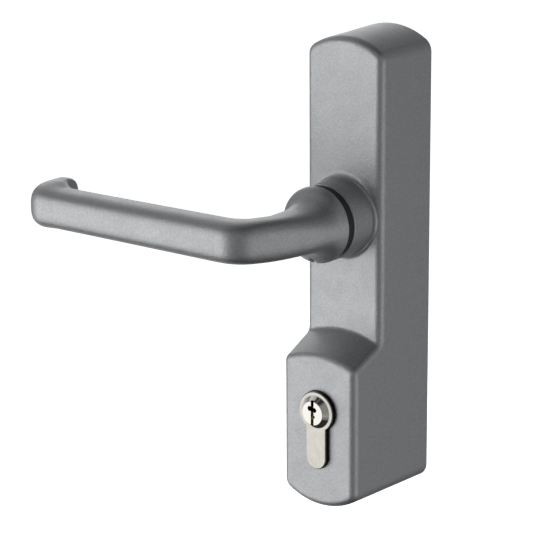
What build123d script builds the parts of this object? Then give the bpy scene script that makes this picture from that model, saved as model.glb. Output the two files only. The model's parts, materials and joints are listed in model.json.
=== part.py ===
"""Exit device outside lever: cast housing, sprung lever, profile cylinder and the clutch inside.

Frame: mm, +Z up, +Y into the door, the outside face looks along -Y.
Origin: lever axis where it meets the door plane.  Depth d is measured out from the door, d = -y.
"""
import os
from math import asin, cos, degrees, pi, radians, sin, sqrt, tan

from build123d import *

# Running and fitting clearances
slip = 0.05            # bush, pin and bore fits
fit_gap = 0.2          # sliding slots, profile hole, window round the cam
face_gap = 0.3         # moving faces that pass one another
over = 1.0             # cutters run past the faces they open
touch = 0.01           # tolerance for lying in a plane

# Housing
width = 38.9           # at the door
draft = 1.71           # degrees, all round
upper_d = 32.78        # depth of the upper face
lower_d = 49.55        # depth of the lower block
top_z = 73.8
bottom_z = -120.75
end_r = 31.7           # crown radius of the top and bottom ends
corner_r = 6.0
corner_ease = 0.75     # share of an inset that comes off the corner rounding
wall = 3.0
edge_r = 3.0           # rounded front edges
shoulder_r = 42.3      # crown radius of the shoulder
shoulder_top_z = -47.5
shoulder_low_z = -55.06
cove_r = 2.0           # cove where the shoulder meets the upper face
brow_r = 3.3           # round where the shoulder meets the lower face

# Collar and bush
collar_r = 15.6
collar_h = 13.46
collar_flare = 1.2
collar_edge = 0.4
sleeve_r = 12.0
bush_flange_t = 3.46
bush_r = 15.1
shank_r = 9.5

# Lever
hub_r = 15.6
hub_edge = 0.5
grip_t = 16.2          # section of the lever, seen from above
grip_h = 16.3
grip_r = 6.0           # rounding of the section
grip_d = 91.0          # centre line of the grip
bend_r = 16.4          # centre line, as for the return
lever_reach = 110.7    # from the lever axis to the centre line of the return
return_r = 9.4
return_d = 72.4        # where the return stops, toward the door
tip_r = 5.5            # rounded end of the return
flare_len = 20.0       # of the hub, which flares out of the arm
flare_lean = 12.0      # degrees, at the rim
flare_run = (4.5, 8.5, 13.0)     # places along the flare
flare_size = (13.5, 10.2, 8.8)   # and its radius at each
flare_sink = 0.2       # the flare ends this far inside the arm
grub_r = 2.0
grub_run = 3.2         # from the back of the hub to the grub screw
grub_out = 12.0        # outer end of the grub screw from the lever axis
grub_hex = 2.0
grub_hex_depth = 2.5
shank_tail = 1.25      # of the shank behind its ring

# Spindle, driver and hub along the lever axis
spindle_w = 7.9
spindle_edge = 0.5
spindle_grip = 12.15   # length of the spindle inside the hub
washer_r = 12.3
washer_t = 1.0
ring_gap = 0.18        # between the washer and the ring
ring_t = 1.0
ring_r = 11.3
ring_groove = 1.1
ring_mouth = 3.0
lug_r = 1.7
lug_hole_r = 0.7
lug_x = 4.6
lug_z = -10.7
driver_gap = 0.3       # between the shank and the driver boss
driver_boss_t = 4.0
driver_t = 3.0
driver_boss_r = 9.0
driver_r = 11.0
arm_w = 5.0
arm_r = 15.5
arm_block_r = 11.6
arm_block_t = 3.6
screw_head_r = 3.5
screw_head_t = 2.2
screw_r = 2.0
screw_tap = 10.0
slide_clear = 0.5      # on each side of the slide
slide_t = 2.5
disc_t = 4.0
disc_r = 15.0
hub_body_r = 9.0
journal_r = 7.4
hub_back_d = 0.5
hub_float = 0.4        # between the drive hub and the back plate
socket_w = 8.1
socket_cap = 3.0       # metal left in front of the socket

# Coupling pin and lock slide
pin_r = 1.5
pin_edge = 0.25
pin_home = 9.2         # radius of the pin when the lever drives the hub
travel = 3.6           # of slide and pin
pin_short = 0.2        # at each end of the pin
jaw_gap = 0.4
jaw_t = 2.4
hook_right = 3.5
hook_lip = 1.5
hook_top = 3.95
slide_w = 12.0
frame_t = 3.0
guide_r = 2.0
guide_shank_r = 3.2
guide_head_t = 1.2
guide_zs = (-29.0, -58.0)

# Stops and return spring
stop_r = 1.5
stop_ring = 14.2
stop_seat = 2.0
lever_swing = 45.0
wire = 1.1
spring_r = 10.1
spring_turns = 2
spring_rise = 2.75
leg_r = 15.2

# Back plate and fixings
plate_out_d = 1.0
plate_t = 2.0
plate_gap = 0.25
post_r = 5.0
post_spigot_r = 4.0
post_cap = 1.5
post_z = 46.0
tap_r = 2.5
boss_r = 3.6
boss_x = 9.5
boss_top_z = 57.0
boss_low_z = -107.0
plate_screw_r = 2.0
plate_screw_head_r = 3.9
plate_screw_len = 12.0
hex_af = 2.5
hex_depth = 1.3

# Profile cylinder
cyl_z = -78.05
cyl_proud = 2.0
cyl_head_r = 8.5
cyl_stem_w = 10.0
cyl_h = 33.0
cyl_len = 25.0         # of the full profile
web_len = 40.0         # from the face to the back of the web
web_top = 15.5         # below the plug axis
cyl_edge = 0.35
plug_r = 6.8
nose_h = 2.3
nose_r = 5.2
nose_edge = 0.25
tail_r = 2.8
tail_end = 1.0         # of the tail behind its clip
cam_r = 7.0
cam_hub_r = 5.5
cam_proud = 2.0        # of the cam in front of the slide
cam_behind = 1.5
clip_t = 1.0
clip_gap = 0.2         # between the cam and its clip
clip_r = 4.6
clip_groove = 0.6
clip_mouth = 1.4
pin_count = 5
pin_margin = 4.5       # from each end of the profile to the outer tumblers
chamber_r = 1.5
tumbler_r = 1.4
tumbler_tip = 0.6
key_pin_top = 1.2      # height of the key pin tip below the plug axis
driver_len = 5.0
stack_floor = 22.9     # bottom of the chambers below the plug axis
pin_wire = 0.35
pin_turns = 6
key_slot_w = 1.4
key_slot_top = 5.4
key_slot_low = 6.2
ward_left = (-1.25, 1.9, 1.1)    # rounded wards of the keyway: across, up and radius
ward_right = (1.1, 1.5, 1.0)
ward_low = (0.8, -1.4, 0.6)
key_stop = 2.0         # metal left behind the keyway
retain_run = 32.55     # from the cylinder face to the fixing screw
retain_below = 20.0
retain_r = 2.5
retain_head_r = 4.6
retain_head_t = 2.3
retain_in = 0.35
retain_tip_x = 3.5
retain_hex = 3.0
retain_hex_depth = 1.6

# Values worked out from the sizes above
half = width / 2
cyl_face_d = lower_d + cyl_proud
cyl_back_d = cyl_face_d - cyl_len
web_back_d = cyl_face_d - web_len
retain_d = cyl_face_d - retain_run
cam_front_d = cyl_back_d - fit_gap
collar_d = upper_d + collar_h
bush_d = collar_d + slip + bush_flange_t
hub_d = bush_d + 2 * slip
neck_d = hub_d + flare_run[0]
flare_d = hub_d + flare_len
spindle_front_d = hub_d + spindle_grip
spindle_hole = spindle_w + 2 * slip
ecc = travel / 2 / sin(radians(45))
inner_d = upper_d - wall
washer_d = inner_d - slip - washer_t
ring_d = washer_d - ring_gap - ring_t
shank_end_d = ring_d - shank_tail
driver_front_d = shank_end_d - driver_gap
driver_disc_d = driver_front_d - driver_boss_t
driver_back_d = driver_disc_d - driver_t
arm_block_d = driver_disc_d + arm_block_t
spring_back_d = driver_disc_d + wire / 2 + 2 * slip
slide_front_d = driver_back_d - slide_clear
slide_back_d = slide_front_d - slide_t
disc_front_d = slide_back_d - slide_clear
disc_back_d = disc_front_d - disc_t
socket_d = disc_front_d - socket_cap
pin_front_d = driver_disc_d - pin_short
pin_back_d = disc_back_d + pin_short
post_d = slide_back_d - slide_clear
cam_disc_d = slide_front_d + cam_proud
cam_back_d = slide_back_d - cam_behind
clip_d = cam_back_d - clip_gap - clip_t
tail_back_d = clip_d - tail_end
stop_end_d = inner_d + stop_seat
plate_in_d = plate_out_d + plate_t
hub_shelf_d = plate_in_d + hub_float
slot_w = 2 * pin_r + 2 * fit_gap
slot_in = pin_home - pin_r - face_gap - fit_gap
cam_z = cyl_z + travel / 2
arm_angle = asin((arm_w / 2 + stop_r + face_gap / 2) / stop_ring)


def at(d):
    """Sketch plane facing out of the door at depth d."""
    return Plane.XZ.offset(d)


def bar(shape, back, front):
    """A flat shape (x, z) carried from depth back to depth front."""
    return extrude(at(back) * shape, front - back)


def rod(r, back, front, x=0.0, z=0.0):
    """A round bar along the depth."""
    return bar(Pos(x, z) * Circle(r), back, front)


def ring(r_out, r_in, back, front, x=0.0, z=0.0):
    return rod(r_out, back, front, x, z) - rod(r_in, back, front, x, z)


def box2(x0, x1, z0, z1):
    """A flat rectangle between two corners."""
    return Pos((x0 + x1) / 2, (z0 + z1) / 2) * Rectangle(x1 - x0, z1 - z0)


def hexagon(across):
    """A hexagon by its size across flats."""
    return RegularPolygon(across / sqrt(3), 6)


def spun(points):
    """A solid turned about the lever axis from (radius, depth) points."""
    line = Polyline(*[(r, -d) for r, d in points], close=True)
    return revolve(make_face(line), Axis.Y)


def outline(inset):
    """Housing outline at the door: straight sides, crowned ends, rounded corners."""
    w = half - inset
    r = end_r - inset
    sag = r - sqrt(r * r - w * w)
    top = top_z - inset
    low = bottom_z + inset
    edges = [
        ThreePointArc((-w, top - sag), (0, top), (w, top - sag)),
        Line((w, top - sag), (w, low + sag)),
        ThreePointArc((w, low + sag), (0, low), (-w, low + sag)),
        Line((-w, low + sag), (-w, top - sag)),
    ]
    face = make_face(edges)
    return fillet(face.vertices(), corner_r - inset * corner_ease)


def shell(inset):
    """Housing body drawn in by inset: drafted block with the upper part cut back to the shoulder."""
    d_up = upper_d - inset
    d_low = lower_d - inset
    fall = (shoulder_top_z - shoulder_low_z) / (lower_d - upper_d)
    z_up = shoulder_top_z + fall * inset - inset * sqrt(1 + fall * fall)
    body = extrude(at(0) * outline(inset), d_low, taper=draft)
    r = shoulder_r + inset
    sag = r - sqrt(r * r - half * half)
    above = make_face([
        ThreePointArc((-half, z_up - sag), (0, z_up), (half, z_up - sag)),
        Line((half, z_up - sag), (half, top_z + 4 * corner_r)),
        Line((half, top_z + 4 * corner_r), (-half, top_z + 4 * corner_r)),
        Line((-half, top_z + 4 * corner_r), (-half, z_up - sag)),
    ])
    reach = 2 * (d_low - d_up)
    return body - extrude(at(d_up) * above, reach * sqrt(1 + fall * fall), dir=(0, -1, -fall))


def euro(gap=0.0):
    """Profile cylinder outline: round head over a narrow round-bottomed stem."""
    stem_r = cyl_stem_w / 2
    foot = cyl_z - (cyl_h - cyl_head_r - stem_r)
    shape = Pos(0, cyl_z) * Circle(cyl_head_r + gap)
    shape += box2(-stem_r - gap, stem_r + gap, foot, cyl_z)
    return shape + Pos(0, foot) * Circle(stem_r + gap)


def in_plane(edge, d):
    """True when an edge lies flat at depth d."""
    return abs(edge.bounding_box().min.Y + d) < touch and abs(edge.bounding_box().max.Y + d) < touch


# Housing
body = shell(0)
cove = [e for e in body.edges() if in_plane(e, upper_d) and e.center().Z < shoulder_top_z + 1]
body = fillet(cove, cove_r)
brow = [e for e in body.edges() if in_plane(e, lower_d) and e.center().Z > shoulder_low_z - 1]
body = fillet(brow, brow_r)
mid_z = (top_z + bottom_z) / 2
outer = [e for e in body.edges() if e.bounding_box().max.Y < -upper_d + touch]
rim = [e for e in outer if abs(e.center().X) > 1 or abs(e.center().Z - mid_z) > (top_z - bottom_z) / 3]
solid_body = fillet(rim, edge_r)
foot_r = collar_r + collar_flare
flare = make_face([
    Line((0, -inner_d), (foot_r, -inner_d)),
    Line((foot_r, -inner_d), (foot_r, -upper_d)),
    RadiusArc((foot_r, -upper_d), (collar_r, -upper_d - collar_flare), collar_flare),
    Line((collar_r, -upper_d - collar_flare), (collar_r, -collar_d + collar_edge)),
    RadiusArc((collar_r, -collar_d + collar_edge), (collar_r - collar_edge, -collar_d), collar_edge),
    Line((collar_r - collar_edge, -collar_d), (0, -collar_d)),
    Line((0, -collar_d), (0, -inner_d)),
])
boss_spots = [(sx * boss_x, z) for sx in (-1, 1) for z in (boss_top_z, boss_low_z)]
stop_spots = [
    (stop_ring * sin(arm_angle), stop_ring * cos(arm_angle)),
    (-stop_ring * sin(radians(lever_swing) + arm_angle), stop_ring * cos(radians(lever_swing) + arm_angle)),
]
retain_z = cyl_z - retain_below
retain_face_x = -(half - retain_d * tan(radians(draft))) + retain_in
hollow = shell(wall)
bosses = Part() + [rod(boss_r, plate_in_d, lower_d, x, z) for x, z in boss_spots]
housing = solid_body - hollow + (bosses & solid_body)
housing += revolve(flare, Axis.Y) & rod(foot_r, upper_d - edge_r / 2, collar_d)
housing -= rod(sleeve_r, inner_d - over, collar_d + over)
housing -= bar(euro(fit_gap), lower_d - 2 * wall, lower_d + over)
for x, z in boss_spots:
    housing -= rod(plate_screw_r, plate_in_d - over, plate_in_d + plate_screw_len, x, z)
for x, z in stop_spots:
    housing -= rod(stop_r, inner_d - over, stop_end_d, x, z)
side = Plane((0, -retain_d, retain_z), x_dir=(0, 1, 0), z_dir=(1, 0, 0))
retain_hole = extrude(side.offset(-half) * Circle(retain_r + slip), half)
housing -= retain_hole
housing -= extrude(side.offset(-half - over) * Circle(retain_head_r), half + over + retain_face_x)
housing -= side.offset(retain_face_x) * Pos(0, 0, retain_head_t / 2) * Cone(
    retain_head_r, retain_r + slip, retain_head_t)

# Back plate, its screws and the threaded posts
plate_line = outline(wall + plate_gap)
back_plate = bar(plate_line, plate_out_d, plate_in_d)
back_plate -= rod(journal_r + 2 * slip, 0, plate_in_d + over)
post_zs = (post_z, -post_z)
for z in post_zs:
    back_plate -= rod(post_spigot_r + slip, 0, plate_in_d + over, 0, z)
for z in guide_zs:
    back_plate -= rod(guide_r, 0, plate_in_d + over, 0, z)
sink = spun([
    (0, plate_out_d - touch), (plate_screw_head_r, plate_out_d - touch),
    (plate_screw_r + slip, plate_in_d), (plate_screw_r + slip, plate_in_d + over), (0, plate_in_d + over),
])
for x, z in boss_spots:
    back_plate -= Pos(x, 0, z) * sink
plate_screw = spun([
    (0, plate_out_d + slip), (plate_screw_head_r - 2 * slip, plate_out_d + slip),
    (plate_screw_r - slip, plate_in_d), (plate_screw_r - slip, plate_in_d + plate_screw_len - over),
    (0, plate_in_d + plate_screw_len - over),
])
plate_screw -= bar(hexagon(hex_af), 0, plate_out_d + hex_depth)
back_plate_screws = [Pos(x, 0, z) * plate_screw for x, z in boss_spots]
post = rod(post_r, plate_in_d, post_d) + rod(post_spigot_r, plate_out_d, plate_in_d)
post -= rod(tap_r, 0, post_d - post_cap)
fixing_posts = [Pos(0, 0, z) * post for z in post_zs]

# Bush, washer and the lever casting with its fixings
neck_bush = spun([
    (shank_r + slip, inner_d), (sleeve_r - slip, inner_d), (sleeve_r - slip, collar_d + slip),
    (bush_r, collar_d + slip), (bush_r, bush_d), (shank_r + slip, bush_d),
])
thrust_washer = ring(washer_r, shank_r + fit_gap, washer_d, inner_d - slip)
flare_start = (hub_r, -hub_d - hub_edge)
flare_end = (grip_t / 2 - flare_sink, -flare_d)
flare_points = [(r, -hub_d - run) for r, run in zip(flare_size, flare_run)]
rim_way = (-sin(radians(flare_lean)), -cos(radians(flare_lean)))
hub_flare = Spline([flare_start, *flare_points, flare_end], tangents=[rim_way, (0, -1)])
hub_face = make_face([
    Line((0, -hub_d), (hub_r - hub_edge, -hub_d)),
    RadiusArc((hub_r - hub_edge, -hub_d), flare_start, -hub_edge),
    hub_flare,
    Line(flare_end, (0, -flare_d)),
    Line((0, -flare_d), (0, -hub_d)),
])
bend_d = grip_d - bend_r
turn_d = grip_d - return_r
turn_x = -lever_reach + return_r
diag = sin(radians(45))
centre_line = Wire([
    Line((0, -neck_d), (0, -bend_d)),
    ThreePointArc((0, -bend_d), (-bend_r * (1 - diag), -bend_d - bend_r * diag), (-bend_r, -grip_d)),
    Line((-bend_r, -grip_d), (turn_x, -grip_d)),
    ThreePointArc(
        (turn_x, -grip_d), (turn_x - return_r * diag, -turn_d - return_r * diag), (-lever_reach, -turn_d)),
    Line((-lever_reach, -turn_d), (-lever_reach, -return_d)),
])
grip = sweep(at(neck_d) * RectangleRounded(grip_t, grip_h, grip_r), path=centre_line)
grip = fillet([e for e in grip.edges() if in_plane(e, return_d)], tip_r)
lever_handle = revolve(hub_face, Axis.Y) + grip
groove_d = ring_d - slip
lever_handle += rod(shank_r, shank_end_d, hub_d + over)
lever_handle -= ring(shank_r + over, shank_r - ring_groove, groove_d, ring_d + ring_t + slip)
lever_handle -= bar(Rectangle(spindle_hole, spindle_hole), shank_end_d - over, spindle_front_d)
grub_line = Plane((0, -hub_d - grub_run, 0), x_dir=(1, 0, 0), z_dir=(0, 0, -1))
lever_handle -= extrude(grub_line * Circle(grub_r), hub_r + over)
grub_top = spindle_w / 2
lever_grub_screw = extrude(grub_line.offset(grub_top) * Circle(grub_r - slip), grub_out - grub_top)
grub_key = grub_line.offset(grub_out) * hexagon(grub_hex)
lever_grub_screw -= extrude(grub_key, -grub_hex_depth)
lever_spindle = bar(Rectangle(spindle_w, spindle_w), driver_back_d, spindle_front_d - slip)
lever_spindle = chamfer(lever_spindle.edges().filter_by(Axis.Y), spindle_edge)
lever_spindle -= rod(screw_r, driver_back_d - over, driver_back_d + screw_tap)
lever_circlip = ring(ring_r, shank_r - ring_groove + slip, ring_d, ring_d + ring_t)
ring_opening = box2(-ring_mouth, ring_mouth, -ring_r - over, -ring_mouth)
lever_circlip -= bar(ring_opening, ring_d - over, ring_d + ring_t + over)
for sx in (-1, 1):
    lever_circlip += ring(lug_r, lug_hole_r, ring_d, ring_d + ring_t, sx * lug_x, lug_z)

# Driver plate on the spindle, with its screw
driver_plate = rod(driver_boss_r, driver_disc_d, driver_front_d) + rod(driver_r, driver_back_d, driver_disc_d)
driver_plate += bar(box2(-arm_w / 2, arm_w / 2, 0, arm_r), driver_back_d, driver_disc_d)
driver_plate += bar(box2(-arm_w / 2, arm_w / 2, arm_block_r, arm_r), driver_back_d, arm_block_d)
driver_plate -= bar(Rectangle(spindle_hole, spindle_hole), driver_back_d - over, driver_front_d + over)
pin_slot = box2(-slot_w / 2, slot_w / 2, -disc_r - over, -slot_in)
driver_plate -= bar(pin_slot, driver_back_d - over, driver_disc_d)
head_d = driver_back_d - screw_head_t
driver_screw = rod(screw_head_r, head_d, driver_back_d)
driver_screw += rod(screw_r - slip, driver_back_d, driver_back_d + screw_tap - over)
driver_screw -= bar(hexagon(hex_af), head_d - over, head_d + hex_depth)

# Drive hub turned through the clutch pin, with the socket for the door spindle
drive_hub = rod(disc_r, disc_back_d, disc_front_d) + rod(hub_body_r, hub_shelf_d, disc_back_d)
drive_hub += rod(journal_r, hub_back_d, hub_shelf_d)
drive_hub -= bar(Rectangle(socket_w, socket_w), hub_back_d - over, socket_d)
drive_hub -= bar(pin_slot, disc_back_d, disc_front_d + over)
coupling_pin = rod(pin_r, pin_back_d, pin_front_d, 0, -pin_home)
coupling_pin = chamfer(coupling_pin.edges(), pin_edge)

# Lock slide: hook round the coupling pin, stem with two guide slots, frame round the cam
jaw_in = pin_home - pin_r - jaw_gap
jaw_out = pin_home + pin_r + jaw_gap
hook = Circle(jaw_out + jaw_t + hook_lip) - Circle(jaw_in - jaw_t)
hook = hook & box2(-slide_w / 2, hook_right, -jaw_out - jaw_t - hook_lip, -hook_top)
track = Circle(jaw_out) - Circle(jaw_in)
track = track & box2(-pin_r - 2 * jaw_gap, disc_r, -disc_r, 0)
frame_left = ecc * diag - cam_r - face_gap - fit_gap
frame_right = ecc + cam_r + face_gap + fit_gap
frame_low = cam_z - cam_r - fit_gap
frame_top = cam_z + cam_r + fit_gap
slide_face = hook - track
slide_face += box2(-slide_w / 2, slide_w / 2, frame_top, -jaw_out - jaw_t / 2)
slide_face += box2(frame_left - frame_t, frame_right + frame_t, frame_low - frame_t, frame_top + frame_t)
slide_face -= box2(frame_left, frame_right, frame_low, frame_top)
slot_half = guide_r + fit_gap
for z in guide_zs:
    slide_face -= box2(-slot_half, slot_half, z - slot_half, z + travel + slot_half)
lock_slide = bar(slide_face, slide_back_d, slide_front_d)
guide_pin = spun([
    (0, plate_out_d + slip), (guide_r - slip, plate_out_d + slip), (guide_r - slip, plate_in_d),
    (guide_shank_r, plate_in_d), (guide_shank_r, slide_back_d - fit_gap),
    (guide_r, slide_back_d - fit_gap), (guide_r, slide_front_d + fit_gap),
    (guide_shank_r, slide_front_d + fit_gap), (guide_shank_r, slide_front_d + fit_gap + guide_head_t),
    (0, slide_front_d + fit_gap + guide_head_t),
])
slide_guide_pins = [Pos(0, 0, z) * guide_pin for z in guide_zs]
stop_pins = [rod(stop_r - slip / 2, driver_back_d + fit_gap, stop_end_d, x, z) for x, z in stop_spots]

# Return spring: two turns round the driver boss, one leg on the arm, one past the first stop pin
leg_gap = wire / 2 + 2 * slip
moving_angle = asin((arm_w / 2 + leg_gap) / arm_block_r)
fixed_angle = arm_angle + asin((stop_r + leg_gap) / stop_ring)
sweep_turns = spring_turns + (moving_angle + fixed_angle) / (2 * pi)
coil_line = Helix(spring_rise / sweep_turns, spring_rise, spring_r, lefthand=True)
coil_start = Plane(coil_line @ 0, z_dir=coil_line % 0)
coil = sweep(coil_start * Circle(wire / 2), path=coil_line, is_frenet=True)
coil += Pos(coil_line @ 0) * Sphere(wire / 2)
coil += Pos(coil_line @ 1) * Sphere(wire / 2)
for end in (coil_line @ 0, coil_line @ 1):
    out = Vector(end.X, end.Y, 0).normalized()
    coil += extrude(Plane(end, z_dir=out) * Circle(wire / 2), leg_r - spring_r)
return_spring = at(spring_back_d) * Rot(0, 0, 90 + degrees(moving_angle)) * coil

# Profile cylinder: body, plug with its nose and keyway, tumblers at the shear line, cam and clip
cylinder_body = bar(euro(), cyl_back_d, cyl_face_d)
face_edges = [e for e in cylinder_body.edges() if in_plane(e, cyl_face_d)]
cylinder_body = chamfer(face_edges, cyl_edge)
stem = cyl_stem_w / 2
web = bar(euro(), web_back_d, cyl_back_d)
web = web & bar(box2(-stem, stem, cyl_z - cyl_h, cyl_z - web_top), web_back_d, cyl_back_d)
cylinder_body += web
cylinder_body -= rod(plug_r + slip, cyl_back_d - over, cyl_face_d + over, 0, cyl_z)
pin_pitch = (cyl_face_d - cyl_back_d - 2 * pin_margin) / (pin_count - 1)
pin_ds = [cyl_face_d - pin_margin - i * pin_pitch for i in range(pin_count)]


def stack(r, d, top, low):
    """An upright round piece below the plug axis at depth d."""
    start = Plane((0, -d, cyl_z - low), x_dir=(1, 0, 0), z_dir=(0, 0, 1))
    return extrude(start * Circle(r), low - top)


for d in pin_ds:
    cylinder_body -= stack(chamber_r, d, plug_r - over, stack_floor)
tap_line = Plane((-stem - over, -retain_d, retain_z), x_dir=(0, 1, 0), z_dir=(1, 0, 0))
cylinder_body -= extrude(tap_line * Circle(retain_r), cyl_stem_w + 2)
nose = make_face([
    Polyline(
        (0, -cyl_back_d), (plug_r, -cyl_back_d), (plug_r, -cyl_face_d),
        (nose_r, -cyl_face_d - nose_h + nose_edge), (nose_r - nose_edge, -cyl_face_d - nose_h),
        (0, -cyl_face_d - nose_h), close=True,
    )
])
key_plug = Pos(0, 0, cyl_z) * revolve(nose, Axis.Y)
key_plug += rod(tail_r, tail_back_d, cyl_back_d, 0, cyl_z)
key_plug -= ring(tail_r + over, tail_r - clip_groove, clip_d - slip, clip_d + clip_t + slip, 0, cyl_z)
slot = key_slot_w / 2
keyway = box2(-slot, slot, -key_slot_low, key_slot_top)
for across, up, r in (ward_left, ward_right, ward_low):
    keyway += Pos(across, up) * Circle(r)
keyway = Pos(0, cyl_z) * keyway
key_plug -= bar(keyway, cyl_back_d + key_stop, cyl_face_d + nose_h + over)
key_pins = []
driver_pins = []
pin_springs = []
shear_in = sqrt(plug_r * plug_r - tumbler_r * tumbler_r) - 2 * slip
shear_out = plug_r + 2 * slip
for d in pin_ds:
    key_plug -= stack(chamber_r, d, key_pin_top - slip, plug_r + over)
    key_pin = stack(tumbler_r, d, key_pin_top, shear_in)
    key_pins.append(chamfer(key_pin.edges().group_by(Axis.Z)[-1], tumbler_tip))
    driver_pins.append(stack(tumbler_r, d, shear_out, shear_out + driver_len))
    height = stack_floor - shear_out - driver_len - 2 * slip - pin_wire
    line = Helix(height / pin_turns, height, tumbler_r - pin_wire)
    wound = sweep(Plane(line @ 0, z_dir=line % 0) * Circle(pin_wire / 2), path=line, is_frenet=True)
    pin_springs.append(Pos(0, -d, cyl_z - stack_floor + slip + pin_wire / 2) * wound)
off = travel / 2
cylinder_cam = rod(cam_hub_r, cam_disc_d, cam_front_d, 0, cyl_z)
cylinder_cam += rod(cam_r, cam_back_d, cam_disc_d, off, cyl_z + off)
cylinder_cam -= rod(tail_r + slip, cam_back_d - over, cam_front_d + over, 0, cyl_z)
plug_clip = ring(clip_r, tail_r - clip_groove + slip, clip_d, clip_d + clip_t, 0, cyl_z)
clip_opening = Pos(0, cyl_z) * box2(-clip_mouth, clip_mouth, -clip_r - over, 0)
plug_clip -= bar(clip_opening, clip_d - over, clip_d + clip_t + over)
retain_shank = retain_tip_x - retain_face_x - retain_head_t
cylinder_screw = side.offset(retain_face_x) * Pos(0, 0, retain_head_t / 2) * Cone(
    retain_head_r - 2 * slip, retain_r - slip, retain_head_t)
cylinder_screw += extrude(side.offset(retain_face_x + retain_head_t) * Circle(retain_r - slip), retain_shank)
cylinder_screw -= extrude(side.offset(retain_face_x) * hexagon(retain_hex), retain_hex_depth)

nodes = {
    "housing": housing,
    "back_plate": back_plate,
    "back_plate_screws": back_plate_screws,
    "fixing_posts": fixing_posts,
    "neck_bush": neck_bush,
    "thrust_washer": thrust_washer,
    "lever_handle": lever_handle,
    "lever_grub_screw": lever_grub_screw,
    "lever_spindle": lever_spindle,
    "lever_circlip": lever_circlip,
    "driver_plate": driver_plate,
    "driver_screw": driver_screw,
    "drive_hub": drive_hub,
    "coupling_pin": coupling_pin,
    "lock_slide": lock_slide,
    "slide_guide_pins": slide_guide_pins,
    "stop_pins": stop_pins,
    "return_spring": return_spring,
    "cylinder_body": cylinder_body,
    "key_plug": key_plug,
    "key_pins": key_pins,
    "driver_pins": driver_pins,
    "pin_springs": pin_springs,
    "cylinder_cam": cylinder_cam,
    "plug_clip": plug_clip,
    "cylinder_screw": cylinder_screw,
}
os.makedirs("parts", exist_ok=True)
for name, piece in nodes.items():
    solids = [s for p in (piece if isinstance(piece, list) else [piece]) for s in p.solids()]
    export_step(solids[0] if len(solids) == 1 else Compound(children=solids), f"parts/{name}.step")
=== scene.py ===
"""Outside lever for an exit device: finishes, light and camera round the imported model."""
import json

import bpy
import numpy as np
from mathutils import Matrix, Vector


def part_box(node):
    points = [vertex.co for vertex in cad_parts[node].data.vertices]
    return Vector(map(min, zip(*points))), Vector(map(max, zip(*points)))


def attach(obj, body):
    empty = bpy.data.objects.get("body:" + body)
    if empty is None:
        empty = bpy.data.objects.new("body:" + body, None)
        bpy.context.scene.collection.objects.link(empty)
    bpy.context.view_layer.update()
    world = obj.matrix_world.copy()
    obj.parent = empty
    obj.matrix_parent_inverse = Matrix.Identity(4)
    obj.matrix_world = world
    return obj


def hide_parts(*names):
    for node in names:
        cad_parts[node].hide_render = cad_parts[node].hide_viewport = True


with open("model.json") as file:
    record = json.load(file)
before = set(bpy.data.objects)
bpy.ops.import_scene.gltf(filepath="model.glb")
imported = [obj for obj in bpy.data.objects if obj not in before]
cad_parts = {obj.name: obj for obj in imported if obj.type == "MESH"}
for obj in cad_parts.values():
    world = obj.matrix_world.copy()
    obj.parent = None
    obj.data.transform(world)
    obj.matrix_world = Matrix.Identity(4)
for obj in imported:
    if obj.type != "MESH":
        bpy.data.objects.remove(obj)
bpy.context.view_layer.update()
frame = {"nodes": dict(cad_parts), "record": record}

MM = 0.001
QUARTER_TURN = np.pi / 2
FULL_TURN = 2.0 * np.pi

# Camera of the photograph, in metres and directions of the part's own frame
CAMERA_AT = (0.55447, -0.78619, 0.23802)
CAMERA_RIGHT = (0.7864, 0.6177, -0.0066)
CAMERA_UP = (-0.1599, 0.2138, 0.9637)
CAMERA_BACK = (0.5967, -0.7568, 0.2669)
LENS_MM = 162.1
SENSOR_MM = 36.0
CLIP_NEAR, CLIP_FAR = 0.01, 200.0

# Places read from the frame, in metres
HOUSING_LOW, HOUSING_HIGH = (Vector(c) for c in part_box("housing"))
PLUG_LOW, PLUG_HIGH = (Vector(c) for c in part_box("key_plug"))
PLUG_AXIS = (PLUG_LOW + PLUG_HIGH) / 2
MIDDLE = (HOUSING_LOW + HOUSING_HIGH) / 2
BUSH_LOW = Vector(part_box("neck_bush")[0])
LEVER_LOW, LEVER_HIGH = (Vector(c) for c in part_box("lever_handle"))

# Lever casting, in millimetres
GRIP_THICK = 16.2        # section of the grip, seen from above
GRIP_HALF_HIGH = 8.15
BEND_HALF_HIGH = 8.5     # the arm is a little taller at the bend
ROUND = 2.0              # exponent of the section: 2 is an ellipse
GRIP_SQUARE = 2.9        # and more is squarer
BEND_R = 16.4            # centre lines of the two bends
RETURN_R = 9.4
RETURN_STOP = 74.5       # depth where the return ends, toward the door
RETURN_SLIM = 3.0        # the return narrows this much on its inner side
TIP_R = 5.5
ELBOW_R = 10.5           # outer corner between the grip and the return
ELBOW_IN = 3.2           # its flat end lies this far short of the solid's
RETURN_RISE = 1.4        # the return is this much taller each way
RISE_SHARE = 0.7         # share of the elbow over which it rises
SHANK_R = 9.5
HUB_CLEAR = 0.1          # between the bush and the back of the hub
HUB_EDGE = 0.5
CORNER_R = 12.5          # outer corner between the neck and the front of the grip
CORNER_X = -10.5         # where the flat front starts to turn
SIDE_BOW = 1.4           # the outer side of the neck is a little convex
INNER_FLARE = (6.5, 3.2, 24.0)     # half-way place, steepness and end of each flare
UPRIGHT_FLARE = (5.6, 3.4, 30.0)
SQUARING = 20.0          # run over which the round hub becomes the squarer grip
GRUB_RUN = 3.2           # from the back of the hub to the grub screw
GRUB_R = 1.5
GRUB_FLOOR = 11.0        # bottom of the screw hole from the lever axis

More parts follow.
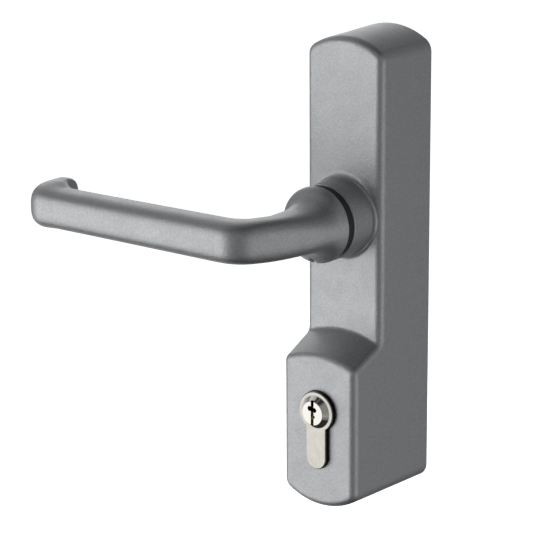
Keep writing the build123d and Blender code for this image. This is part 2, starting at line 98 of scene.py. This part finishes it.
# What follows from those, with depths measured out from the door
HALF_THICK = GRIP_THICK / 2
HUB_R = LEVER_HIGH.z / MM
HUB_BACK = -BUSH_LOW.y / MM + HUB_CLEAR
GRIP_OUT = -LEVER_LOW.y / MM - HALF_THICK
REACH = -LEVER_LOW.x / MM - HALF_THICK - ELBOW_IN

# Runs along the lever's centre line, from the back of the hub to the end of each stretch
SHANK_END = -LEVER_HIGH.y / MM - HUB_BACK
NECK_END = GRIP_OUT - BEND_R - HUB_BACK
BEND_END = NECK_END + BEND_R * QUARTER_TURN
GRIP_END = BEND_END + REACH - BEND_R - RETURN_R
ELBOW_END = GRIP_END + RETURN_R * QUARTER_TURN
TIP_END = ELBOW_END + GRIP_OUT - RETURN_R - RETURN_STOP
TIP_START = TIP_END - TIP_R

# Cove round the collar, in millimetres
COLLAR_R = 15.6
UPPER_FACE = 32.78       # depth of the housing's upper face
COVE_TOP = 3.0           # size of the cove above and below
COVE_SIDE = 1.0          # and at the sides, where the face is narrow
COVE_SINK = 0.6          # its edges run this far under the skin

# How finely the skins are drawn: points round a ring, rings or steps in mm along each stretch
AROUND = 192
CROWDING = 0.6           # how much closer the points lie along the underside, where the screw hole is
HUB_LINES = 6.0          # rings lie closest from the back of the hub to here
HUB_STEP = 0.15
NECK_STEP = 0.35
ARM_STEP = 0.6
BEND_RINGS = 56
GRIP_RINGS = 40
ELBOW_RINGS = 40
RETURN_RINGS = 6
EDGE_RINGS = 12
COVE_RINGS = 16
SIDE_POINTS = 80         # outlines seen from above: bowed side, arcs and flats
ARC_POINTS = 40
FLAT_POINTS = 20
SHARP_FROM = 40.0        # degrees, edges kept crisp

# Silver coat of housing and lever, darkest and lightest flake
SILVER_DARK = (0.385, 0.393, 0.402)
SILVER_LIGHT = (0.515, 0.523, 0.532)

# Scale of the turning rings on the plug's nose
TURNING_MM = 0.9

# Studio: dim walls between a dark floor and ceiling, by the height of the look direction from 0 to 1
ROOM_WALL = (0.230, 0.235, 0.243, 1.0)
ROOM_DARK = (0.025, 0.025, 0.026, 1.0)
ROOM_FLOOR = 0.10
ROOM_CEILING = 0.93
ROOM_BLEND = 0.08
WHITE = (1.0, 1.0, 1.0, 1.0)
PAPER = (0.9, 0.9, 0.9, 1.0)
FLOOR_DROP = 0.45
FLOOR_SIZE = 60.0


class Finish:
    """A node material read on Object coordinates, with small helpers to wire it."""

    def __init__(self, name):
        self.material = bpy.data.materials.new(name)
        self.material.use_nodes = True
        self.nodes = self.material.node_tree.nodes
        self.links = self.material.node_tree.links
        self.shader = self.nodes["Principled BSDF"]
        self.coords = self.nodes.new("ShaderNodeTexCoord").outputs

    def set(self, **values):
        """Constants straight on the shader's sockets, named with underscores for spaces."""
        for key, value in values.items():
            self.shader.inputs[key.replace("_", " ")].default_value = value
        return self

    def moved(self, location=(0, 0, 0), scale=(1, 1, 1)):
        """Object coordinates moved and stretched for one pattern."""
        node = self.nodes.new("ShaderNodeMapping")
        node.inputs["Location"].default_value = location
        node.inputs["Scale"].default_value = scale
        self.links.new(self.coords["Object"], node.inputs["Vector"])
        return node.outputs["Vector"]

    def noise(self, grain_mm, detail=2.0, rough=0.5, place=None):
        """Noise whose lumps are about grain_mm across."""
        node = self.nodes.new("ShaderNodeTexNoise")
        node.inputs["Scale"].default_value = 1.0 / (grain_mm * MM)
        node.inputs["Detail"].default_value = detail
        node.inputs["Roughness"].default_value = rough
        self.links.new(place or self.coords["Object"], node.inputs["Vector"])
        return node.outputs["Fac"]

    def span(self, value, low, high, start=0.3, end=0.7):
        """value from start to end carried onto low to high."""
        node = self.nodes.new("ShaderNodeMapRange")
        node.inputs["From Min"].default_value = start
        node.inputs["From Max"].default_value = end
        node.inputs["To Min"].default_value = low
        node.inputs["To Max"].default_value = high
        self.links.new(value, node.inputs["Value"])
        return node.outputs["Result"]

    def outward(self, full, none):
        """1 where the surface looks out from the door, by the Y of its normal from full to none."""
        normal = self.nodes.new("ShaderNodeSeparateXYZ")
        self.links.new(self.coords["Normal"], normal.inputs["Vector"])
        return self.span(normal.outputs["Y"], low=1.0, high=0.0, start=full, end=none)

    def tint(self, value, dark, light, start=0.3, end=0.7):
        """A two-colour ramp on value."""
        node = self.nodes.new("ShaderNodeValToRGB")
        low, high = node.color_ramp.elements
        low.position, high.position = start, end
        low.color, high.color = (*dark, 1.0), (*light, 1.0)
        self.links.new(value, node.inputs["Fac"])
        return node.outputs["Color"]

    def bump(self, height, depth_mm, strength, under=None):
        """Relief of depth_mm from height, laid over another bump."""
        node = self.nodes.new("ShaderNodeBump")
        node.inputs["Strength"].default_value = strength
        node.inputs["Distance"].default_value = depth_mm * MM
        self.links.new(height, node.inputs["Height"])
        if under is not None:
            self.links.new(under, node.inputs["Normal"])
        return node.outputs["Normal"]

    def feed(self, **sources):
        """Patterns linked to the shader's sockets."""
        for key, source in sources.items():
            self.links.new(source, self.shader.inputs[key.replace("_", " ")])


def silver_powder_coat(name):
    """Satin silver powder coat: fine flake sparkle, soft cloudiness and an orange-peel skin."""
    finish = Finish(name).set(Metallic=0.86, Coat_Weight=0.04, Coat_Roughness=0.3)
    flake = finish.noise(grain_mm=0.70, detail=3.0, rough=0.65)
    cloud = finish.noise(grain_mm=6.0)
    peel = finish.noise(grain_mm=1.2)
    skin = finish.bump(peel, depth_mm=0.10, strength=0.9)
    finish.feed(
        Base_Color=finish.tint(flake, SILVER_DARK, SILVER_LIGHT),
        Roughness=finish.span(cloud, low=0.50, high=0.54),
        Normal=finish.bump(flake, depth_mm=0.06, strength=0.9, under=skin),
    )
    return finish.material


def black_nylon():
    """Moulded black nylon with a faint grain."""
    finish = Finish("moulded_black_nylon").set(Base_Color=(0.012, 0.013, 0.015, 1.0))
    grain = finish.noise(grain_mm=0.25, detail=3.0)
    finish.feed(
        Roughness=finish.span(grain, low=0.38, high=0.55),
        Normal=finish.bump(grain, depth_mm=0.01, strength=0.4),
    )
    return finish.material


def nickel_face():
    """Satin nickel on the lapped face, with fine upright lines, and near black painted shade round its
    sides.
    """
    finish = Finish("lapped_nickel").set(Metallic=1.0)
    lines = finish.noise(grain_mm=0.09, place=finish.moved(scale=(1.0, 0.35, 0.04)))
    cloud = finish.noise(grain_mm=2.5, detail=3.0)
    plate = finish.tint(cloud, dark=(0.335, 0.320, 0.290), light=(0.38, 0.365, 0.333))
    # Where the normal turns away from facing out of the door the colour goes near black: painted shade and
    # dark reflection on the cylinder's sides, not the metal's own colour.
    plate_with_painted_dark_sides = finish.nodes.new("ShaderNodeMix")
    plate_with_painted_dark_sides.data_type = "RGBA"
    plate_with_painted_dark_sides.inputs["A"].default_value = (0.02, 0.019, 0.018, 1.0)
    finish.links.new(finish.outward(full=-0.55, none=-0.35), plate_with_painted_dark_sides.inputs["Factor"])
    finish.links.new(plate, plate_with_painted_dark_sides.inputs["B"])
    finish.feed(
        Base_Color=plate_with_painted_dark_sides.outputs["Result"],
        Roughness=finish.span(lines, low=0.20, high=0.34),
        Normal=finish.bump(lines, depth_mm=0.004, strength=0.35),
    )
    return finish.material


def turned_nickel():
    """Polished nickel with turning rings round the plug axis; the flat end, facing out of the door, is
    painted darker than the cone as painted shade.
    """
    finish = Finish("turned_nickel").set(Metallic=1.0)
    rings = finish.nodes.new("ShaderNodeTexWave")
    rings.wave_type = "RINGS"
    rings.rings_direction = "Y"
    rings.inputs["Scale"].default_value = 1.0 / (TURNING_MM * MM)
    rings.inputs["Distortion"].default_value = 0.6
    rings.inputs["Detail"].default_value = 2.0
    finish.links.new(finish.moved(location=(-PLUG_AXIS.x, 0.0, -PLUG_AXIS.z)), rings.inputs["Vector"])
    cloud = finish.noise(grain_mm=1.2, detail=3.0)
    # The flat end facing out of the door takes a darker colour than the cone: painted shade that dims its
    # reflection of the lamps, not a different metal.
    end = finish.outward(full=-0.95, none=-0.80)
    finish.feed(
        Base_Color=finish.tint(end, (0.86, 0.83, 0.76), (0.46, 0.447, 0.42), start=0.0, end=1.0),
        Roughness=finish.span(cloud, low=0.08, high=0.15),
        Normal=finish.bump(rings.outputs["Fac"], depth_mm=0.002, strength=0.3),
    )
    return finish.material


def plated_steel(name, dark, light, smooth, rough):
    """Plated or drawn metal: cloudy plating, from smooth to rough, over fine drawn lines."""
    finish = Finish(name).set(Metallic=1.0)
    cloud = finish.noise(grain_mm=3.0, detail=4.0, rough=0.6)
    lines = finish.noise(grain_mm=0.15, place=finish.moved(scale=(1.0, 1.0, 0.08)))
    finish.feed(
        Base_Color=finish.tint(cloud, dark, light),
        Roughness=finish.span(cloud, smooth, rough),
        Normal=finish.bump(lines, depth_mm=0.006, strength=0.3),
    )
    return finish.material


def swept_mesh(name, points, finish, ring=False):
    """A skin from an array of rings (ring, around, xyz) in millimetres.

    It is a tube with a flat face at each end, or, as a ring, its last row joins its first.
    """
    rings, around = points.shape[:2]
    ids = np.arange(rings * around).reshape(rings, around)
    ends = [] if ring else [ids[0].tolist(), ids[-1][::-1].tolist()]
    if ring:
        ids = np.concatenate([ids, ids[:1]])
    onward = np.roll(ids, -1, axis=1)
    quads = np.stack([ids[:-1], ids[1:], onward[1:], onward[:-1]], axis=-1).reshape(-1, 4)
    mesh = bpy.data.meshes.new(name)
    mesh.from_pydata((points * MM).reshape(-1, 3).tolist(), [], quads.tolist() + ends)
    mesh.update()
    mesh.shade_smooth()
    mesh.set_sharp_from_angle(angle=np.radians(SHARP_FROM))
    mesh.materials.append(finish)
    obj = bpy.data.objects.new(name, mesh)
    bpy.context.collection.objects.link(obj)
    return obj


def share_of(run, start, end):
    """Share of the stretch from start to end that lies behind run, held between 0 and 1."""
    return np.clip((run - start) / (end - start), 0.0, 1.0)


def ease(share):
    """0 to 1 with level ends: 3 v squared less 2 v cubed."""
    return share * share * (3.0 - 2.0 * share)


def flare(run, place, steep, end):
    """Share of the hub's extra size left at run: 1 over (1 + (run / place) ^ steep), brought to 0 at end."""
    tail = 1.0 / (1.0 + (end / place) ** steep)
    share = 1.0 / (1.0 + (np.clip(run, 0.0, end) / place) ** steep)
    return (share - tail) / (1.0 - tail)


def outer_side(run):
    """Distance from the centre line to the outer side of neck and bend, seen from above.

    The side is a line from the hub's rim that touches a corner circle, bowed out by SIDE_BOW times the
    sine of half a turn, then an arc of that circle and then the flat front.  Along the neck the distance
    is read at the same depth, and round the bend along the ray from the bend's centre.
    """
    corner = np.array([CORNER_X, GRIP_OUT + HALF_THICK - CORNER_R])
    rim = np.array([HUB_R, HUB_BACK + HUB_EDGE])
    gap = rim - corner
    lean = np.arctan2(gap[1], gap[0]) + np.arccos(CORNER_R / np.hypot(*gap))
    swing = np.linspace(lean, QUARTER_TURN, ARC_POINTS)
    arc = corner + CORNER_R * np.stack([np.cos(swing), np.sin(swing)], axis=-1)
    share = np.linspace(0.0, 1.0, SIDE_POINTS)[:-1, None]
    bow = SIDE_BOW * np.sin(np.pi * share) * np.array([np.cos(lean), np.sin(lean)])
    side = rim + (arc[0] - rim) * share + bow
    flat = np.linspace(0.0, -BEND_R, FLAT_POINTS)[1:]
    front = arc[-1] + np.stack([flat, np.zeros_like(flat)], axis=-1)
    across, depth = np.concatenate([side, arc, front]).T

    along_neck = np.interp(run + HUB_BACK, depth, across)
    from_bend = np.stack([across + BEND_R, depth - (GRIP_OUT - BEND_R)])
    turned = QUARTER_TURN * share_of(run, NECK_END, BEND_END)
    round_bend = np.interp(turned, np.arctan2(from_bend[1], from_bend[0]), np.hypot(*from_bend)) - BEND_R
    return np.where(run < NECK_END, along_neck, np.where(run < BEND_END, round_bend, HALF_THICK))


def elbow_corner(run):
    """How much further out than the plain bend the elbow's corner reaches.

    Seen from above the outer side is the flat front, an arc of ELBOW_R and the flat end, so the distance
    from the elbow's centre is read along each ray.
    """
    wide = RETURN_R + HALF_THICK
    swing = np.linspace(0.0, QUARTER_TURN, ARC_POINTS)
    arc = wide - ELBOW_R + ELBOW_R * np.stack([np.sin(swing), np.cos(swing)])
    flat = np.linspace(0.0, wide - ELBOW_R, FLAT_POINTS)[:-1]
    edge = np.full_like(flat, wide)
    across = np.concatenate([flat, arc[0], edge])
    out = np.concatenate([edge, arc[1], flat[::-1]])
    turned = QUARTER_TURN * share_of(run, GRIP_END, ELBOW_END)
    return np.interp(turned, np.arctan2(across, out), np.hypot(across, out)) - wide


def lever_runs():
    """Runs of the lever's rings from the hub's rim to the tip, closest together where the shape turns."""
    swing = np.linspace(0.0, QUARTER_TURN, EDGE_RINGS)[1:]
    return np.concatenate([
        np.arange(HUB_EDGE, HUB_LINES, HUB_STEP),
        np.arange(HUB_LINES, SQUARING, NECK_STEP),
        np.arange(SQUARING, NECK_END, ARM_STEP),
        np.linspace(NECK_END, BEND_END, BEND_RINGS),
        np.linspace(BEND_END, GRIP_END, GRIP_RINGS)[1:],
        np.linspace(GRIP_END, ELBOW_END, ELBOW_RINGS)[1:],
        np.linspace(ELBOW_END, TIP_START, RETURN_RINGS)[1:],
        TIP_START + TIP_R * np.sin(swing),
    ])


def lever_sections(run):
    """Outer, inner and upright half sizes of the section at each run, and its exponent.

    Each size is the grip's own plus a flare that grows to the round hub.  The outer side has the corners
    of bend and elbow, the inner side slims along the return, the return rises both ways, and the tip draws
    all of them in by TIP_R less the root of TIP_R squared less the run past its start, squared.  The
    exponent goes from ROUND at the hub to GRIP_SQUARE.
    """
    past = np.clip(run - TIP_START, 0.0, TIP_R)
    drawn_in = TIP_R - np.sqrt(TIP_R ** 2 - past ** 2)
    outer = outer_side(run)
    inner = HALF_THICK + (HUB_R - HALF_THICK) * flare(run, *INNER_FLARE)
    inner = inner + np.clip(HALF_THICK - outer, 0.0, HALF_THICK)
    inner = inner - RETURN_SLIM * ease(share_of(run, GRIP_END, TIP_START))
    outer = outer + elbow_corner(run)
    tall = BEND_HALF_HIGH + (GRIP_HALF_HIGH - BEND_HALF_HIGH) * ease(share_of(run, NECK_END, GRIP_END))
    upright = tall + (HUB_R - tall) * flare(run, *UPRIGHT_FLARE)
    risen = GRIP_END + RISE_SHARE * (ELBOW_END - GRIP_END)
    upright = upright + RETURN_RISE * ease(share_of(run, GRIP_END, risen))
    square = ROUND + (GRIP_SQUARE - ROUND) * ease(share_of(run, 0.0, SQUARING))
    return outer - drawn_in, inner - drawn_in, upright - drawn_in, square


def lever_line(run):
    """Heading of the lever's centre line at each run, and its place in x and y.

    The line leaves the hub straight out, turns a quarter circle, runs along the grip and turns another
    quarter circle back to the door: at run s its heading h is 90 degrees for each bend passed, and its
    place is the running sum of (-sin h, -cos h) ds.
    """
    heading = QUARTER_TURN * (share_of(run, NECK_END, BEND_END) + share_of(run, GRIP_END, ELBOW_END))
    middle = (heading[1:] + heading[:-1]) / 2
    step = np.diff(run)
    line_x = np.concatenate([[0.0], -np.cumsum(np.sin(middle) * step)])
    line_y = np.concatenate([[0.0], -np.cumsum(np.cos(middle) * step)]) - HUB_BACK - run[0]
    return heading, line_x, line_y


def lever_casting(finish):
    """The lever, from its shank through hub, bend, grip and return, as one swept skin.

    The section at run s is |across / a| ^ n + |up / b| ^ n = 1, with its own a for the outer and the inner
    side, so at angle t across is a |cos t| ^ (2 / n) and up is b |sin t| ^ (2 / n), with their signs.  The
    round shank and the hub's rounded rim come before the first run, and the underside of the hub steps in
    to GRUB_FLOOR over a circle of GRUB_R, for the grub screw.
    """
    run = lever_runs()
    outer, inner, upright, square = lever_sections(run)
    swing = np.linspace(0.0, QUARTER_TURN, EDGE_RINGS)[:-1]
    lead_run = np.concatenate([[SHANK_END, 0.0], HUB_EDGE * (1.0 - np.cos(swing))])
    lead_r = np.concatenate([[SHANK_R, SHANK_R], HUB_R - HUB_EDGE * (1.0 - np.sin(swing))])
    run = np.concatenate([lead_run, run])
    outer, inner, upright = (np.concatenate([lead_r, size])[:, None] for size in (outer, inner, upright))
    power = 2.0 / np.concatenate([np.full_like(lead_r, ROUND), square])[:, None]

    even = np.linspace(0.0, FULL_TURN, AROUND, endpoint=False)
    turn = even - CROWDING * np.cos(even)
    across = np.sign(np.cos(turn)) * np.abs(np.cos(turn)) ** power
    across = across * np.where(across > 0.0, outer, inner)
    up = np.sign(np.sin(turn)) * np.abs(np.sin(turn)) ** power * upright
    in_hole = (up < -GRUB_FLOOR) & (np.hypot(across, run[:, None] - GRUB_RUN) < GRUB_R)
    up = np.where(in_hole, -GRUB_FLOOR, up)

    heading, line_x, line_y = (value[:, None] for value in lever_line(run))
    points = np.stack([line_x + across * np.cos(heading), line_y - across * np.sin(heading), up], axis=-1)
    lever = swept_mesh("lever_casting", points, finish)
    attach(lever, "lever")
    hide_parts("lever_handle")


def collar_cove(finish):
    """The soft cove where the collar grows out of the housing's face.

    A ring of quarter circles, hollow side out: at angle f round the collar the cove's size c is COVE_SIDE
    plus (COVE_TOP - COVE_SIDE) sin^2 f, and at t from 0 to 90 degrees the radius is the collar's plus
    c (1 - sin t) and the depth is the face's plus c (1 - cos t).  Two hidden rows close it under the skin.
    """
    turn = np.linspace(0.0, FULL_TURN, AROUND, endpoint=False)
    size = COVE_SIDE + (COVE_TOP - COVE_SIDE) * np.sin(turn) ** 2
    swing = np.linspace(0.0, QUARTER_TURN, COVE_RINGS)[:, None]
    radius = COLLAR_R + size * (1.0 - np.sin(swing))
    depth = UPPER_FACE + size * (1.0 - np.cos(swing))
    inside = radius[-1:] - COVE_SINK
    behind = depth[:1] - COVE_SINK
    radius = np.concatenate([radius[:1], radius, inside, inside])
    depth = np.concatenate([behind, depth, depth[-1:], behind])
    points = np.stack([radius * np.cos(turn), -depth, radius * np.sin(turn)], axis=-1)
    cove = swept_mesh("collar_cove", points, finish, ring=True)
    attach(cove, "frame")


def dress():
    """Each node takes the finish of its record slot, and the two new skins take theirs."""
    finishes = {
        "housing_paint": silver_powder_coat("housing_silver"),
        "lever_paint": silver_powder_coat("lever_silver"),
        "black_nylon": black_nylon(),
        "nickel_plate": nickel_face(),
        "plug_nickel": turned_nickel(),
        "pin_brass": plated_steel(
            "turned_brass", dark=(0.62, 0.44, 0.20), light=(0.74, 0.56, 0.28), smooth=0.2, rough=0.3),
        "zinc_steel": plated_steel(
            "bright_zinc", dark=(0.42, 0.43, 0.45), light=(0.56, 0.57, 0.58), smooth=0.30, rough=0.46),
        "spring_steel": plated_steel(
            "drawn_spring_steel", dark=(0.25, 0.25, 0.26), light=(0.36, 0.36, 0.37), smooth=0.25, rough=0.4),
        "black_steel": plated_steel(
            "black_oxide", dark=(0.03, 0.03, 0.033), light=(0.06, 0.06, 0.065), smooth=0.35, rough=0.5),
    }
    slots = {row["node"]: row["material_slot"] for row in frame["record"]["subparts"]}
    for node, obj in frame["nodes"].items():
        obj.data.materials.clear()
        obj.data.materials.append(finishes[slots[node]])
    lever_casting(finishes["lever_paint"])
    collar_cove(finishes["housing_paint"])


def softbox(name, toward, distance, width, height, power):
    """A rectangular area light that stands off along toward and looks back at the object."""
    lamp = bpy.data.lights.new(name, "AREA")
    lamp.shape = "RECTANGLE"
    lamp.size, lamp.size_y = width, height
    lamp.energy = power
    obj = bpy.data.objects.new(name, lamp)
    way = Vector(toward).normalized()
    obj.location = MIDDLE + way * distance
    obj.rotation_euler = way.to_track_quat("Z", "Y").to_euler()
    bpy.context.collection.objects.link(obj)


def studio_lamps():
    """A low key from the left front, weaker lamps from the left rear, high and low, and two on the right."""
    softbox("key_softbox", (-0.64, -0.74, -0.14), distance=1.5, width=1.3, height=1.7, power=12.9)
    softbox("rear_softbox", (-0.64, 0.72, 0.26), distance=1.6, width=1.2, height=0.8, power=4.8)
    softbox("fill_card", (0.84, 0.46, -0.20), distance=0.55, width=0.34, height=0.60, power=0.07)
    softbox("right_strip", (0.97, 0.0, -0.20), distance=1.2, width=0.90, height=0.8, power=1.9)
    softbox("rear_low_card", (-0.73, 0.61, -0.28), distance=1.6, width=0.9, height=0.7, power=1.3)
    softbox("high_bounce", (-0.60, 0.22, 0.77), distance=1.6, width=1.5, height=1.3, power=2.2)
    softbox("floor_glow", (-0.60, 0.33, -0.72), distance=1.4, width=0.9, height=0.8, power=1.7)


def studio_room():
    """Dim walls that light the object, seen as plain white by the camera."""
    world = bpy.data.worlds.new("studio")
    bpy.context.scene.world = world
    world.use_nodes = True
    nodes, links = world.node_tree.nodes, world.node_tree.links
    dim = nodes["Background"]
    look = nodes.new("ShaderNodeSeparateXYZ")
    links.new(nodes.new("ShaderNodeTexCoord").outputs["Generated"], look.inputs["Vector"])
    height = nodes.new("ShaderNodeMapRange")
    height.inputs["From Min"].default_value = -1.0
    links.new(look.outputs["Z"], height.inputs["Value"])
    walls = nodes.new("ShaderNodeValToRGB")
    ends = walls.color_ramp.elements
    ends[0].position, ends[0].color = ROOM_FLOOR, ROOM_DARK
    ends[1].position, ends[1].color = ROOM_CEILING, ROOM_DARK
    for place in (ROOM_FLOOR + ROOM_BLEND, ROOM_CEILING - ROOM_BLEND):
        ends.new(place).color = ROOM_WALL
    links.new(height.outputs["Result"], walls.inputs["Fac"])
    links.new(walls.outputs["Color"], dim.inputs["Color"])
    pale = nodes.new("ShaderNodeBackground")
    pale.inputs["Color"].default_value = WHITE
    mix = nodes.new("ShaderNodeMixShader")
    links.new(nodes.new("ShaderNodeLightPath").outputs["Is Camera Ray"], mix.inputs["Fac"])
    links.new(dim.outputs["Background"], mix.inputs[1])
    links.new(pale.outputs["Background"], mix.inputs[2])
    links.new(mix.outputs["Shader"], nodes["World Output"].inputs["Surface"])


def pale_floor():
    """A plain white floor well below the part, which hangs on a door in use."""
    mesh = bpy.data.meshes.new("floor")
    half = FLOOR_SIZE / 2
    level = HOUSING_LOW.z - FLOOR_DROP
    corners = [(-half, -half, level), (half, -half, level), (half, half, level), (-half, half, level)]
    mesh.from_pydata(corners, [], [(0, 1, 2, 3)])
    floor = bpy.data.objects.new("floor", mesh)
    bpy.context.collection.objects.link(floor)
    floor.visible_glossy = False
    floor.visible_diffuse = False
    paper = Finish("white_paper").set(
        Base_Color=PAPER, Roughness=0.9, Emission_Color=WHITE, Emission_Strength=1.0)
    mesh.materials.append(paper.material)


def photo_camera():
    """The camera fitted to the photograph."""
    lens = bpy.data.cameras.new("photo_camera")
    lens.lens = LENS_MM
    lens.sensor_width = SENSOR_MM
    lens.clip_start, lens.clip_end = CLIP_NEAR, CLIP_FAR
    obj = bpy.data.objects.new("photo_camera", lens)
    turn = Matrix((CAMERA_RIGHT, CAMERA_UP, CAMERA_BACK)).transposed()
    obj.matrix_world = Matrix.Translation(CAMERA_AT) @ turn.to_4x4()
    bpy.context.collection.objects.link(obj)
    bpy.context.scene.camera = obj


dress()
studio_lamps()
studio_room()
pale_floor()
photo_camera()
bpy.context.scene.view_settings.view_transform = "Standard"
